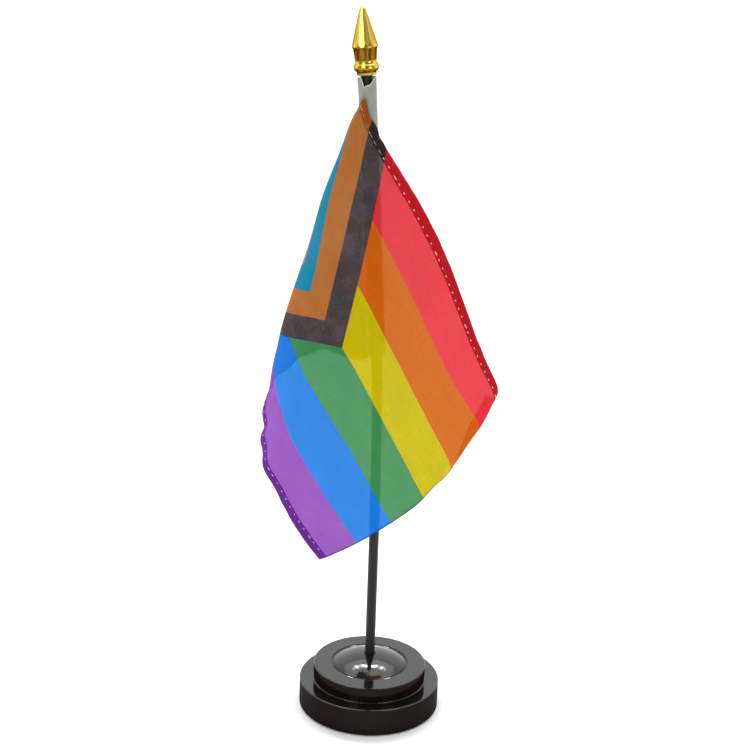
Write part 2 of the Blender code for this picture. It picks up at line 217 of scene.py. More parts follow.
# The finial: a spear on a rounded collar, with soft facets up the spear.
FINIAL_FOOT_Z = 258.2 * MM
FINIAL_LENGTH = 24.5 * MM
COLLAR_R = 4.65 * MM
COLLAR_ROUND = 1.85 * MM
COLLAR_MID_Z = 2.8 * MM
COLLAR_FOOT_R = 3.65 * MM
FOOT_ROUND = 0.25 * MM
NECK_R = 4.0 * MM
NECK_Z = 5.6 * MM
SPEAR_R = 4.8 * MM
SPEAR_WIDEST = 10.4 * MM
SHOULDER_ROUND = 1.0 * MM
CONE_RINGS = 14
POLE_R = 0.02 * MM
TIP_R = 1.2 * MM
FINIAL_SIDES = 144
FACETS = 12
FACET_DEPTH = 1.3
FACETS_START_OVER = 2.0 * MM
FACETS_END_OVER = 3.0 * MM
FOOT_TOP_Z = 0.85 * MM
SOCKET_DEPTH = 8.2 * MM
SOCKET_R = 2.2 * MM


# ---------------------------------------------------------------- node helpers

class Nodes:
    """A small helper for writing a node tree as expressions."""

    def __init__(self, tree):
        self.tree = tree

    def node(self, kind, **settings):
        made = self.tree.nodes.new(kind)
        for key, value in settings.items():
            setattr(made, key, value)
        return made

    def plug(self, socket, value):
        if isinstance(value, bpy.types.NodeSocket):
            self.tree.links.new(value, socket)
        elif isinstance(value, tuple) and len(value) == 3 and socket.type == "RGBA":
            socket.default_value = (*value, 1.0)
        else:
            socket.default_value = value

    def math(self, kind, *values):
        made = self.node("ShaderNodeMath", operation=kind)
        for socket, value in zip(made.inputs, values):
            self.plug(socket, value)
        return made.outputs[0]

    def mix(self, share, first, second, kind="MIX"):
        """A mix of two colours, which are the mix node's inputs 6 and 7."""
        made = self.node("ShaderNodeMix", data_type="RGBA", blend_type=kind)
        for socket, value in ((0, share), (6, first), (7, second)):
            self.plug(made.inputs[socket], value)
        return made.outputs[2]

    def ramp(self, value, stops, kind="LINEAR"):
        made = self.node("ShaderNodeValToRGB")
        made.color_ramp.interpolation = kind
        while len(made.color_ramp.elements) < len(stops):
            made.color_ramp.elements.new(0.5)
        for stop, (place, colour) in zip(made.color_ramp.elements, stops):
            stop.position = place
            stop.color = (*colour, 1.0)
        self.plug(made.inputs[0], value)
        return made.outputs[0]

    def split(self, vector):
        """The three parts of a vector."""
        made = self.node("ShaderNodeSeparateXYZ")
        self.plug(made.inputs[0], vector)
        return made.outputs

    def noise(self, where, scale, detail=3.0, rough=0.55):
        made = self.node("ShaderNodeTexNoise")
        self.plug(made.inputs["Vector"], where)
        made.inputs["Scale"].default_value = scale
        made.inputs["Detail"].default_value = detail
        made.inputs["Roughness"].default_value = rough
        return made.outputs["Fac"]

    def stretch(self, where, scale, turned=0.0):
        made = self.node("ShaderNodeMapping")
        self.plug(made.inputs["Vector"], where)
        made.inputs["Rotation"].default_value = (0.0, 0.0, turned)
        made.inputs["Scale"].default_value = scale
        return made.outputs[0]

    def bump(self, height, strength, distance):
        made = self.node("ShaderNodeBump")
        made.inputs["Strength"].default_value = strength
        made.inputs["Distance"].default_value = distance
        self.plug(made.inputs["Height"], height)
        return made.outputs[0]

    def between(self, value, low, high, start=0.0, end=1.0):
        """Low where the value is at start, high where it is at end, and evenly between the two."""
        made = self.node("ShaderNodeMapRange")
        self.plug(made.inputs["Value"], value)
        for name, limit in (("From Min", start), ("From Max", end), ("To Min", low), ("To Max", high)):
            made.inputs[name].default_value = limit
        return made.outputs[0]


class Paint(Nodes):
    """One material's nodes, with a Principled shader to set."""

    def __init__(self, name):
        self.material = bpy.data.materials.new(name)
        self.material.use_nodes = True
        super().__init__(self.material.node_tree)
        self.tree.nodes.clear()
        self.output = self.node("ShaderNodeOutputMaterial")
        self.shader = self.node("ShaderNodeBsdfPrincipled")
        self.tree.links.new(self.shader.outputs[0], self.output.inputs[0])

    def set(self, **inputs):
        for name, value in inputs.items():
            self.plug(self.shader.inputs[name.replace("_", " ").title()], value)

    def place(self):
        return self.node("ShaderNodeTexCoord").outputs["Object"]

    def cloth_place(self):
        """The cloth's own flat place, in millimetres."""
        flat = self.node("ShaderNodeUVMap", uv_map="cloth").outputs[0]
        return self.stretch(flat, (FLAG_LENGTH / MM, FLAG_HEIGHT / MM, 1.0))

    def deepened(self, colour, power):
        """A colour made deeper by a power over 1, or paler by one under 1."""
        made = self.node("ShaderNodeGamma")
        self.plug(made.inputs[0], colour)
        made.inputs[1].default_value = power
        return made.outputs[0]

    def blend(self, share, first, second):
        """A mix of two shaders."""
        made = self.node("ShaderNodeMixShader")
        made.inputs[0].default_value = share
        self.plug(made.inputs[1], first)
        self.plug(made.inputs[2], second)
        return made.outputs[0]

    def facing_up(self):
        """How far the surface faces up: 1 on a level top, 0 on a wall and -1 underneath."""
        return self.split(self.node("ShaderNodeNewGeometry").outputs["Normal"])[2]


def srgb(red, green, blue):
    """A colour given as 0-255 display values, as linear light."""
    out = []
    for level in (red, green, blue):
        part = level / 255
        out.append(part / 12.92 if part <= 0.04045 else ((part + 0.055) / 1.055) ** 2.4)
    return tuple(out)


# ---------------------------------------------------------------- plain materials

NONE = (0.0, 0.0, 0.0)
FULL = (1.0, 1.0, 1.0)

# Gloss of the black pieces. EDGE_BAND is where a rounded edge lies between a wall and a level face.
WALL_SHINE = 0.16
LEVEL_SHINE = 0.76
SATIN_SHINE = 0.26
EDGE_BAND = ((0.28, NONE), (0.42, FULL), (0.64, FULL), (0.78, NONE))
GOLD_AT_A_SLANT = (0.40, 0.24, 0.05)
# How far down the gold faces where its painted shade is full.
GOLD_SHADE_FROM = -0.22


def black_gloss():
    """Polished on its level faces and rounded edges, and duller on its upright walls, which carry a faint
    painted warm reflection.
    """
    paint = Paint("black_gloss_plastic")
    where = paint.place()
    haze = paint.noise(where, 90.0, 4.0)
    scuffs = paint.noise(paint.stretch(where, (1.0, 1.0, 14.0)), 420.0, 2.0)
    rough = paint.math("ADD", paint.between(haze, 0.03, 0.09), paint.between(scuffs, 0.0, 0.04))
    slant = paint.node("ShaderNodeLayerWeight").outputs["Facing"]
    colour = paint.mix(haze, srgb(10, 9, 9), srgb(20, 17, 16))
    up = paint.facing_up()
    upright = paint.math("SUBTRACT", 1.0, paint.math("MAXIMUM", up, 0.0))
    # Painted reflection: the upright walls are tinted a little warm, standing in for warm surroundings
    # reflected in them.
    colour = paint.mix(upright, colour, paint.mix(haze, srgb(13, 8, 7), srgb(24, 13, 11)))
    square_on = paint.math("POWER", paint.math("SUBTRACT", 1.0, slant), 3.0)
    shine = paint.mix(upright, (LEVEL_SHINE,) * 3, paint.math("MULTIPLY", square_on, WALL_SHINE))
    shine = paint.mix(paint.ramp(up, EDGE_BAND), shine, FULL)
    ripple = paint.bump(paint.noise(where, 60.0, 1.0), 0.04, 0.0004)
    paint.set(base_color=colour, roughness=rough, normal=ripple)
    paint.plug(paint.shader.inputs["Specular IOR Level"], shine)
    return paint.material


def black_satin():
    paint = Paint("black_staff_satin")
    where = paint.place()
    grain = paint.noise(paint.stretch(where, (9.0, 9.0, 0.6)), 260.0, 3.0)
    colour = paint.mix(grain, srgb(14, 14, 14), srgb(34, 33, 32))
    paint.set(base_color=colour, roughness=paint.between(grain, 0.30, 0.46))
    paint.set(normal=paint.bump(grain, 0.25, 0.00012))
    paint.shader.inputs["Specular IOR Level"].default_value = SATIN_SHINE
    return paint.material


def gold_plating():
    """Bright plating, with painted shade where the metal faces down: darker and browner there, with painted
    streaks of reflection.
    """
    paint = Paint("gold_plating")
    where = paint.place()
    cast = paint.noise(where, 240.0, 3.0)
    # Painted shade: the colour turns dark brown where the surface faces down, standing in for dark
    # surroundings reflected there.
    under = paint.between(paint.facing_up(), 0.0, 1.0, 0.0, GOLD_SHADE_FROM)
    tint = paint.mix(cast, srgb(214, 178, 62), srgb(238, 210, 106))
    # Painted reflection: long upright streaks in the shaded part, between dark and lighter brown.
    reflection_streaks = paint.noise(paint.stretch(where, (1.0, 1.0, 0.02)), 800.0, 2.0, 0.7)
    below = paint.ramp(reflection_streaks, ((0.38, srgb(70, 45, 8)), (0.62, srgb(138, 100, 30))))
    tint = paint.mix(under, tint, below)
    paint.set(base_color=tint, roughness=paint.between(cast, 0.10, 0.20), metallic=1.0)
    paint.set(normal=paint.bump(cast, 0.08, 0.0002), specular_tint=GOLD_AT_A_SLANT)
    return paint.material


def foam():
    paint = Paint("foam_pad")
    where = paint.place()
    cells = paint.noise(where, 1400.0, 2.0, 0.7)
    paint.set(base_color=paint.mix(cells, srgb(24, 24, 25), srgb(52, 52, 53)), roughness=0.95)
    paint.set(normal=paint.bump(cells, 0.8, 0.0003))
    return paint.material


def zinc():
    paint = Paint("zinc_steel")
    where = paint.place()
    spangle = paint.noise(where, 380.0, 2.0)
    paint.set(base_color=paint.mix(spangle, srgb(168, 170, 172), srgb(205, 206, 205)), metallic=1.0)
    paint.set(roughness=paint.between(spangle, 0.3, 0.5))
    return paint.material


# ---------------------------------------------------------------- cloth materials

# Shade, glow (light let through the threads) and sheer (light through the gaps, tinted by the dye).
CLOTH_GLOW = 0.25
CLOTH_SHEER = 0.25
GAP_DYE = 0.12
HEM_SHADE = 0.62
HEM_DEPTH = 1.35
HEM_SHEER = 0.03
EDGE_SHADE = 0.4
SLEEVE_SHADE = 0.9
SLEEVE_SHEER = 0.3
ROLLED_SHEER = 0.2
PRINT_GRAIN = 0.35
SEWN_GRAIN = 0.8

# Red, orange, yellow, green, blue and purple.
STRIPE_COLOURS = (
    (0.83, 0.038, 0.058), (0.71, 0.154, 0.004), (0.67, 0.565, 0.001),
    (0.064, 0.33, 0.112), (0.012, 0.25, 0.80), (0.34, 0.090, 0.56),
)
BLACK_PRINT = (0.094, 0.074, 0.072)
BROWN_PRINT = (0.56, 0.21, 0.048)
BLUE_PRINT = (0.014, 0.32, 0.50)
PINK_PRINT = (0.80, 0.20, 0.32)
WHITE_PRINT = (0.88, 0.87, 0.85)
SLEEVE_WHITE = srgb(196, 195, 188)
# Painted show-through on the black print: cool and purple tints stand in for light from the coloured cloth
# behind.
SHOW_THROUGH_COOL = (0.80, 0.80, 0.90)
SHOW_THROUGH_PURPLE = (1.20, 1.10, 1.45)

# Where each chevron ends, in millimetres from the staff's side along the flag's middle line.
CHEVRON_EDGES = (36.0, 48.0, 60.5, 73.0, 85.0)
RAMP_REACH = 100.0
WEAVE_SCALE = 0.9
CREASE_SHADE_TURN = radians(35.0)


def printed_colour(paint):
    """The flag's print from the cloth's own u and v: six stripes, and chevrons from the staff's side, with
    painted light from the cloth behind showing through the black chevron.
    """
    across, down, _ = paint.split(paint.cloth_place())
    height = FLAG_HEIGHT / MM
    stops = [(i / len(STRIPE_COLOURS), colour) for i, colour in enumerate(STRIPE_COLOURS)]
    stripes = paint.ramp(paint.math("DIVIDE", down, height), stops, "CONSTANT")
    off_middle = paint.math("ABSOLUTE", paint.math("SUBTRACT", down, height / 2))
    reach = paint.math("ADD", across, off_middle)
    prints = (WHITE_PRINT, PINK_PRINT, BLUE_PRINT, BROWN_PRINT, BLACK_PRINT)
    places = (0.0,) + tuple(edge / RAMP_REACH for edge in CHEVRON_EDGES[:-1])
    chevrons = paint.ramp(paint.math("DIVIDE", reach, RAMP_REACH), list(zip(places, prints)), "CONSTANT")
    beyond = paint.math("GREATER_THAN", reach, CHEVRON_EDGES[-1])
    # Painted show-through: the black chevron is tinted cool and purple in soft patches, standing in for the
    # coloured cloth behind seen through it.
    show_through_noise = paint.noise(paint.cloth_place(), 0.09, 3.0, 0.6)
    patches = paint.ramp(show_through_noise, ((0.36, SHOW_THROUGH_COOL), (0.5, FULL), (0.62, SHOW_THROUGH_PURPLE)))
    chevrons = paint.mix(paint.math("GREATER_THAN", reach, CHEVRON_EDGES[-2]), chevrons, patches, "MULTIPLY")
    return paint.mix(beyond, chevrons, stripes)


def weave(paint):
    """Threads both ways across the cloth, as a height and as a faint change of shade."""
    where = paint.cloth_place()
    waves = []
    for direction in ("X", "Y"):
        wave = paint.node("ShaderNodeTexWave", wave_type="BANDS", bands_direction=direction)
        paint.plug(wave.inputs["Vector"], where)
        wave.inputs["Scale"].default_value = WEAVE_SCALE
        wave.inputs["Distortion"].default_value = 0.6
        wave.inputs["Detail"].default_value = 1.0
        waves.append(wave.outputs["Fac"])
    long_slubs = paint.noise(paint.stretch(where, (0.12, 2.6, 1.0)), 1.0, 4.0, 0.65)
    cross_slubs = paint.noise(paint.stretch(where, (2.6, 0.12, 1.0)), 1.0, 4.0, 0.65)
    slubs = paint.math("SUBTRACT", paint.math("ADD", long_slubs, cross_slubs), 0.5)
    return paint.math("MULTIPLY", *waves), slubs


def crease_shading(paint):
    """Painted shade of soft creases left by folding and handling, as darker and lighter slanted patches."""
    slanted = paint.stretch(paint.cloth_place(), (0.05, 0.13, 1.0), CREASE_SHADE_TURN)
    return paint.noise(slanted, 1.0, 4.0, 0.6)


def cloth_paint(name, colour_of, shade, sheer, glow, grain=PRINT_GRAIN, depth=1.0):
    """Thin woven polyester: a printed face, light let through, and gaps between the threads."""
    paint = Paint(name)
    height, slubs = weave(paint)
    colour = colour_of(paint)
    threads = paint.mix(slubs, (shade * 0.80,) * 3, (shade * 1.16,) * 3)
    toned = paint.mix(1.0, paint.deepened(colour, depth), threads, "MULTIPLY")
    # Painted shade: the colour is darkened and lightened in soft slanted patches where creases would shade
    # it.
    toned = paint.mix(1.0, toned, paint.mix(crease_shading(paint), (0.86,) * 3, (1.10,) * 3), "MULTIPLY")
    normal = paint.bump(paint.math("ADD", height, slubs), grain, 0.0001)
    paint.set(base_color=toned, roughness=0.78, normal=normal)
    paint.shader.inputs["Sheen Weight"].default_value = 0.02
    paint.shader.inputs["Sheen Roughness"].default_value = 0.4
    paint.shader.inputs["Specular IOR Level"].default_value = 0.08
    through = paint.node("ShaderNodeBsdfTranslucent")
    paint.plug(through.inputs["Color"], toned)
    paint.plug(through.inputs["Normal"], normal)
    gaps = paint.node("ShaderNodeBsdfTransparent")
    paint.plug(gaps.inputs["Color"], paint.deepened(colour, GAP_DYE))
    lit = paint.blend(glow, paint.shader.outputs[0], through.outputs[0])
    paint.plug(paint.output.inputs[0], paint.blend(sheer, lit, gaps.outputs[0]))
    return paint.material


def thread_white():
    paint = Paint("white_thread")
    twist = paint.noise(paint.place(), 2600.0, 2.0)
    paint.set(base_color=paint.mix(twist, srgb(214, 206, 208), srgb(250, 246, 246)), roughness=0.6)
    paint.set(normal=paint.bump(twist, 0.5, 0.0001))
    return paint.material


# ---------------------------------------------------------------- how the flag hangs

def staff_x(height):
    above = max(0.0, height - STAFF_BEND_Z)
    return sqrt(STAFF_BEND_R**2 - above**2) - STAFF_BEND_R


def staff_centre(height):
    return Vector((staff_x(height), 0.0, height))


def sleeve_axis():
    foot = staff_centre(SLEEVE_FOOT_Z)
    top = staff_centre(SLEEVE_TOP_Z)
    bow = staff_x((SLEEVE_FOOT_Z + SLEEVE_TOP_Z) / 2) - (foot.x + top.x) / 2
    foot.x += bow / 2
    top.x += bow / 2
    return foot, (top - foot).normalized()


def fan_direction(angle):
    """Unit direction of the fold at a flat angle: a smooth curve through the FAN directions."""
    spots = []
    for lean, turn in FAN:
        spots.append(sin(radians(lean)) * Vector((cos(radians(turn)), sin(radians(turn)))))
    spots = [2 * spots[0] - spots[1]] + spots + [2 * spots[-1] - spots[-2]]
    place = min(max(angle / FAN_STEP, 0.0), len(FAN) - 1.00001)
    k = int(place)
    t = place - k
    a, b, c, d = spots[k:k + 4]
    out = 0.5 * (2 * b + (c - a) * t + (2 * a - 5 * b + 4 * c - d) * t**2 + (3 * b - a - 3 * c + d) * t**3)
    return Vector((out.x, out.y, -sqrt(1.0 - out.length_squared)))


def hanging_point(u, v):
    along = max(u - HOIST_U, 0.0)
    reach = hypot(along, v)
    point = FLAG_CORNER + reach * fan_direction(atan2(v, along))
    past = max(reach - SAG_ENDS_AT, 0.0) / SAG_END_LENGTH
    point.z -= SAG * (1.0 - exp(-along / SAG_FROM_STAFF)) * (1.0 - exp(-v / SAG_FROM_HEM)) * (1.0 - past**2)
    wave = max(u - BELLY_START, 0.0) / BELLY_LENGTH
    point.x += BELLY * sin(2 * pi * wave) * exp(-v / BELLY_DEPTH)
    aside = ((u - DROP_PLACE.x) / DROP_LENGTH) ** 2 + ((v - DROP_PLACE.y) / DROP_HEIGHT) ** 2
    point += DROP * exp(-aside) * (1.0 - exp(-along / SAG_FROM_STAFF))
    point += CORNER_WRAP * exp(-(reach / CORNER_REACH) ** 2)
    foot, up = sleeve_axis()
    beside = point - foot
    beside -= up * beside.dot(up)
    if beside.length < CLOTH_KEEP_OFF:
        point += beside.normalized() * (CLOTH_KEEP_OFF - beside.length)
    return point


def curl_start(v):
    """The u at which the cloth starts to curl back, at a given v."""
    return CURL_START_U + CURL_GROWS_BY * (max(v - CURL_GROWS_FROM_V, 0.0) / CURL_GROWS_OVER) ** CURL_GROWTH


def flag_point(u, v):
    """Where a point of the flat flag ends up, with the free edge curled back near its top corner."""
    root = curl_start(v)
    if u <= root:
        return hanging_point(u, v)
    start = hanging_point(root, v)
    onward = (start - hanging_point(root - MM, v)).normalized()
    back = (hanging_point(root, v + MM) - start).cross(onward).normalized()
    if back.y < 0.0:
        back.negate()
    bend = (u - root) / CURL_R
    return start + onward * CURL_R * sin(bend) + back * CURL_R * (1.0 - cos(bend))


def nudge(u, v):
    """How far the small corrections move one place on the sheet."""
    total = Vector((0.0, 0.0, 0.0))
    for (place_u, place_v), move, (wide, tall) in NUDGES:
        share = exp(-(((u / MM - place_u) / wide) ** 2) - ((v / MM - place_v) / tall) ** 2)
        total += Vector(move) * MM * share
    return total * min(max(u - HOIST_U, 0.0) / NUDGE_FADE, 1.0)


# ---------------------------------------------------------------- mesh helpers

# How much a closed tube narrows at its ends.
TUBE_END = 0.35


def add_object(name, mesh, material):
    thing = bpy.data.objects.new(name, mesh)
    bpy.context.scene.collection.objects.link(thing)
    mesh.materials.append(material)
    return thing


def grid_mesh(name, rows, flats=None, ring=False):
    """A smooth mesh over rows of points, with the cloth's flat places as its UVs."""
    down, across = len(rows), len(rows[0])
    verts = [tuple(point) for row in rows for point in row]
    faces = []
    for i in range(down - 1):
        for j in range(across if ring else across - 1):
            k = (j + 1) % across
            faces.append((i * across + j, (i + 1) * across + j, (i + 1) * across + k, i * across + k))
    mesh = bpy.data.meshes.new(name)
    mesh.from_pydata(verts, [], faces)
    if flats:
        layer = mesh.uv_layers.new(name="cloth")
        flat = [place for row in flats for place in row]
        for loop in mesh.loops:
            u, v = flat[loop.vertex_index]
            layer.data[loop.index].uv = (u / FLAG_LENGTH, v / FLAG_HEIGHT)
    for face in mesh.polygons:
        face.use_smooth = True
    return mesh


def tube_rows(path, radius, sides=8, closed_ends=True):
    """Rings of points round a path."""
    rows = []
    side = None
    for i, point in enumerate(path):
        ahead = (path[min(i + 1, len(path) - 1)] - path[max(i - 1, 0)]).normalized()
        side = ahead.orthogonal() if side is None else side - ahead * side.dot(ahead)
        side.normalize()
        up = ahead.cross(side)
        girth = radius * (TUBE_END if closed_ends and i in (0, len(path) - 1) else 1.0)
        turns = [2 * pi * k / sides for k in range(sides)]
        rows.append([point + girth * (cos(turn) * side + sin(turn) * up) for turn in turns])
    return rows


def join_meshes(name, meshes, material):
    shape = bmesh.new()
    for mesh in meshes:
        shape.from_mesh(mesh)
        bpy.data.meshes.remove(mesh)
    joined = bpy.data.meshes.new(name)
    shape.to_mesh(joined)
    shape.free()
    return add_object(name, joined, material)


# ---------------------------------------------------------------- the flag's cloth

def start_grid():
    """Flat places and hanging places of the flag's simulation grid."""
    cells_u = round((FLAG_LENGTH - HOIST_U) / CLOTH_CELL)
    cells_v = round(FLAG_HEIGHT / CLOTH_CELL)
    us = [HOIST_U + (FLAG_LENGTH - HOIST_U) * i / cells_u for i in range(cells_u + 1)]
    vs = [FLAG_HEIGHT * j / cells_v for j in range(cells_v + 1)]
    flats = [[(u, v) for v in vs] for u in us]
    return flats, [[flag_point(u, v) + ruffle(u, v) + nudge(u, v) for u, v in row] for row in flats]


def ruffle(u, v):
    """The sewn bottom edge is gathered a little, so it ripples."""
    from_edge = exp(-(((FLAG_HEIGHT - v) / RUFFLE_DEPTH) ** 2))
    grows = 1.0 - exp(-max(u - HOIST_U, 0.0) / RUFFLE_STARTS)
    grows *= min(max(RUFFLE_ENDS - u, 0.0) / RUFFLE_STARTS, 1.0)
    wander = RUFFLE_WANDER * noise.noise(Vector((u / RUFFLE_WANDERS_OVER, 0.3, 0.0)))
    swing = sin(2 * pi * u / RUFFLE_LENGTH + wander)
    swing *= 1.0 + RUFFLE_VARIES_BY * noise.noise(Vector((u / RUFFLE_VARIES_OVER, 5.3, 0.0)))
    along = (flag_point(u, v) - flag_point(u - MM, v)).normalized()
    down = (flag_point(u, v) - flag_point(u, v - MM)).normalized()
    return down.cross(along).normalized() * RUFFLE * from_edge * grows * swing


def settle(flats, rows):
    """Lets the cloth settle by simulation. It is sewn along the staff side and keeps near its folds."""
    mesh = grid_mesh("flag_trial", rows)
    sheet = bpy.data.objects.new("flag_trial", mesh)
    bpy.context.scene.collection.objects.link(sheet)
    flat = [place for row in flats for place in row]
    group = sheet.vertex_groups.new(name="held")
    for index, (u, v) in enumerate(flat):
        sewn = u < HOIST_U + CLOTH_CELL / 2
        freeness = min(max((FLAG_LENGTH - u) / FLY_REACH, 0.0), 1.0)
        group.add([index], 1.0 if sewn else FLY_GUIDE + (GUIDE - FLY_GUIDE) * freeness, "REPLACE")
    cloth = sheet.modifiers.new("Cloth", "CLOTH")
    settings = cloth.settings
    settings.vertex_group_mass = "held"
    settings.quality = 10
    settings.mass = 0.001
    settings.tension_stiffness = 60.0
    settings.compression_stiffness = 60.0
    settings.shear_stiffness = 15.0
    settings.bending_stiffness = 0.002
    settings.tension_damping = 0.02
    settings.compression_damping = 0.02
    settings.shear_damping = 0.02
    settings.bending_damping = 0.0
    settings.air_damping = 1.0
    settings.pin_stiffness = 1.0
    cloth.collision_settings.use_collision = False
    cloth.collision_settings.use_self_collision = False
    cloth.point_cache.frame_end = CLOTH_FRAMES
    for number in range(1, CLOTH_FRAMES + 1):
        bpy.context.scene.frame_set(number)
    ready = sheet.evaluated_get(bpy.context.evaluated_depsgraph_get())
    settled = [vert.co.copy() for vert in ready.data.vertices]
    bpy.data.objects.remove(sheet)
    bpy.data.meshes.remove(mesh)
    across = len(rows[0])
    return [settled[i * across:(i + 1) * across] for i in range(len(rows))]


class ClothSurface:
    """The settled flag as a smooth surface over its own flat u and v."""

    def __init__(self, rows):
        grid = np.array([[tuple(point) for point in row] for row in rows])
        for axis in (0, 1):
            grid = np.moveaxis(grid, axis, 0)
            before, after = 2 * grid[:1] - grid[1:2], 2 * grid[-1:] - grid[-2:-1]
            grid = np.moveaxis(np.concatenate([before, grid, after]), 0, axis)
        self.grid = grid
        self.cells = (len(rows) - 1, len(rows[0]) - 1)

    @staticmethod
    def weights(place, cells):
        start = min(max(int(place), 0), cells - 1)
        t = place - start
        shares = (-t + 2 * t**2 - t**3, 2 - 5 * t**2 + 3 * t**3, t + 4 * t**2 - 3 * t**3, t**3 - t**2)
        return start, np.array(shares) / 2

    def bare(self, u, v):
        i, across = self.weights((u - HOIST_U) / (FLAG_LENGTH - HOIST_U) * self.cells[0], self.cells[0])
        j, down = self.weights(v / FLAG_HEIGHT * self.cells[1], self.cells[1])
        return Vector(np.einsum("i,j,ijk->k", across, down, self.grid[i:i + 4, j:j + 4]))

    def outward(self, u, v):
        """Unit normal on the flag's outer side."""
        step = 0.5 * MM
        along = self.bare(u + step, v) - self.bare(u - step, v)
        down = self.bare(u, v + step) - self.bare(u, v - step)
        return down.cross(along).normalized()

    def place(self, u, v, lift=0.0):
        """A point of the flag, creased a little and lifted off its outer side."""
        crease = noise.noise(Vector((u / BROAD_CREASE[0], v / BROAD_CREASE[1], 3.1)))
        crease += FINE_CREASE_SHARE * noise.noise(Vector((u / FINE_CREASE[0], v / FINE_CREASE[1], 7.7)))
        crease *= CREASE * (1.0 - exp(-(u - HOIST_U) / CREASE_STARTS))
        return self.bare(u, v) + self.outward(u, v) * (crease + lift)


def spread(start, end, step):
    count = max(1, round(abs(end - start) / step))
    return [start + (end - start) * i / count for i in range(count + 1)]


def make_hem(name, surface, edge_v, inward, replaced, finish):
    """A band folded over the flag's edge and sewn down, puffed a little between its stitches."""
    across = [share * HEM_WIDTH for share in HEM_PLACES]
    profile = [(HEM_WIDTH, HEM_EDGE_LIFT)] + [(depth, HEM_LIFT) for depth in reversed(across)]
    profile += [(-HEM_NOSE, 0.0)] + [(depth, -HEM_BACK) for depth in across] + [(HEM_WIDTH, -HEM_BACK / 2)]
    rows, flats = [], []
    for u in spread(HOIST_U + HEM_STARTS, FLAG_LENGTH - HEM_ENDS, HEM_STEP):
        puff = HEM_PUFF * abs(sin(pi * u / STITCH_PITCH))
        sway = HEM_SWAY * noise.noise(Vector((u / HEM_SWAYS_OVER, edge_v, 0.5)))
        row = []
        for depth, lift in profile:
            swell = puff * (1.0 - abs(2 * depth / HEM_WIDTH - 1.0)) if depth > 0 else 0.0
            lift += swell if lift > 0 else -swell
            row.append(surface.place(u, edge_v + inward * (depth + sway), lift))
        rows.append(row)
        flats.append([(u, edge_v + inward * max(depth, 0.0)) for depth, _ in profile])
    hem = add_object(name, grid_mesh(name, rows, flats), finish)
    thick = hem.modifiers.new("Thickness", "SOLIDIFY")
    thick.thickness = HEM_THICK
    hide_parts(replaced)
    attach(hem, "flag")
    return hem


def stitch(surface, flat_from, flat_to, height, side, girth=THREAD_R):
    """One visible length of thread, from where it comes out of the cloth to where it goes back in."""
    path = []
    for i in range(ARCH_PIECES + 1):
        t = i / ARCH_PIECES
        lift = height + girth * (ARCH_RISE * sin(pi * t) ** 0.5 - ARCH_SINK)
        u = flat_from[0] + (flat_to[0] - flat_from[0]) * t
        v = flat_from[1] + (flat_to[1] - flat_from[1]) * t
        path.append(surface.place(u, v, side * lift))
    return grid_mesh("stitch", tube_rows(path, girth, THREAD_SIDES), ring=True)


def make_stitches(name, surface, line_v, replaced, thread):
    """A sewn line along a hem: dots on the outer side and dashes on the inner side."""
    parts = []
    u = HOIST_U + LINE_MARGIN
    count = 0
    while u < FLAG_LENGTH - LINE_MARGIN:
        count += 1
        length, girth = (STITCH_LONG if count % LONG_EVERY == 0 else STITCH_DOT), THREAD_R
        if line_v < FLAG_HEIGHT / 2 and u < TOP_LINE_ENDS:
            length, girth = STITCH_LINE, FINE_THREAD_R
        v = line_v + STITCH_SWAY * noise.noise(Vector((u / STITCH_SWAYS_OVER, line_v * 40, 2.0)))
        parts.append(stitch(surface, (u, v), (u + length, v), HEM_LIFT, 1.0, girth))
        parts.append(stitch(surface, (u + DASH_STARTS, v), (u + STITCH_DASH, v), HEM_BACK, -1.0))
        u += STITCH_PITCH
    sewn = join_meshes(name, parts, thread)
    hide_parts(replaced)
    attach(sewn, "flag")
    return sewn


def make_edge_bead(surface, finish):
    """The heat-cut free edge: a fine hard bead in the print's own colours, darkened."""
    vs = spread(0.0, FLAG_HEIGHT, FINE_CELL)
    path = []
    for v in vs:
        sway = EDGE_SWAY * noise.noise(Vector((v / EDGE_SWAYS_OVER, 4.0, 1.0)))
        path.append(surface.place(FLAG_LENGTH + sway, v))
    rows = tube_rows(path, EDGE_BEAD_R)
    flats = [[(FLAG_LENGTH - EDGE_BEAD_R, v)] * len(rows[0]) for v in vs]
    bead = add_object("fly_edge", grid_mesh("fly_edge", rows, flats, ring=True), finish)
    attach(bead, "flag")
    return bead


# ---------------------------------------------------------------- the sleeve

def turned_past(heading, other):
    """Degrees from the other heading to this one, from -180 to 180."""
    return (heading - other + 180.0) % 360.0 - 180.0


def sleeve_frame():
    foot, up = sleeve_axis()
    side = Vector((1.0, 0.0, 0.0))
    side = (side - up * side.dot(up)).normalized()
    return foot, up, side, up.cross(side), (SLEEVE_TOP_Z - SLEEVE_FOOT_Z) / up.z


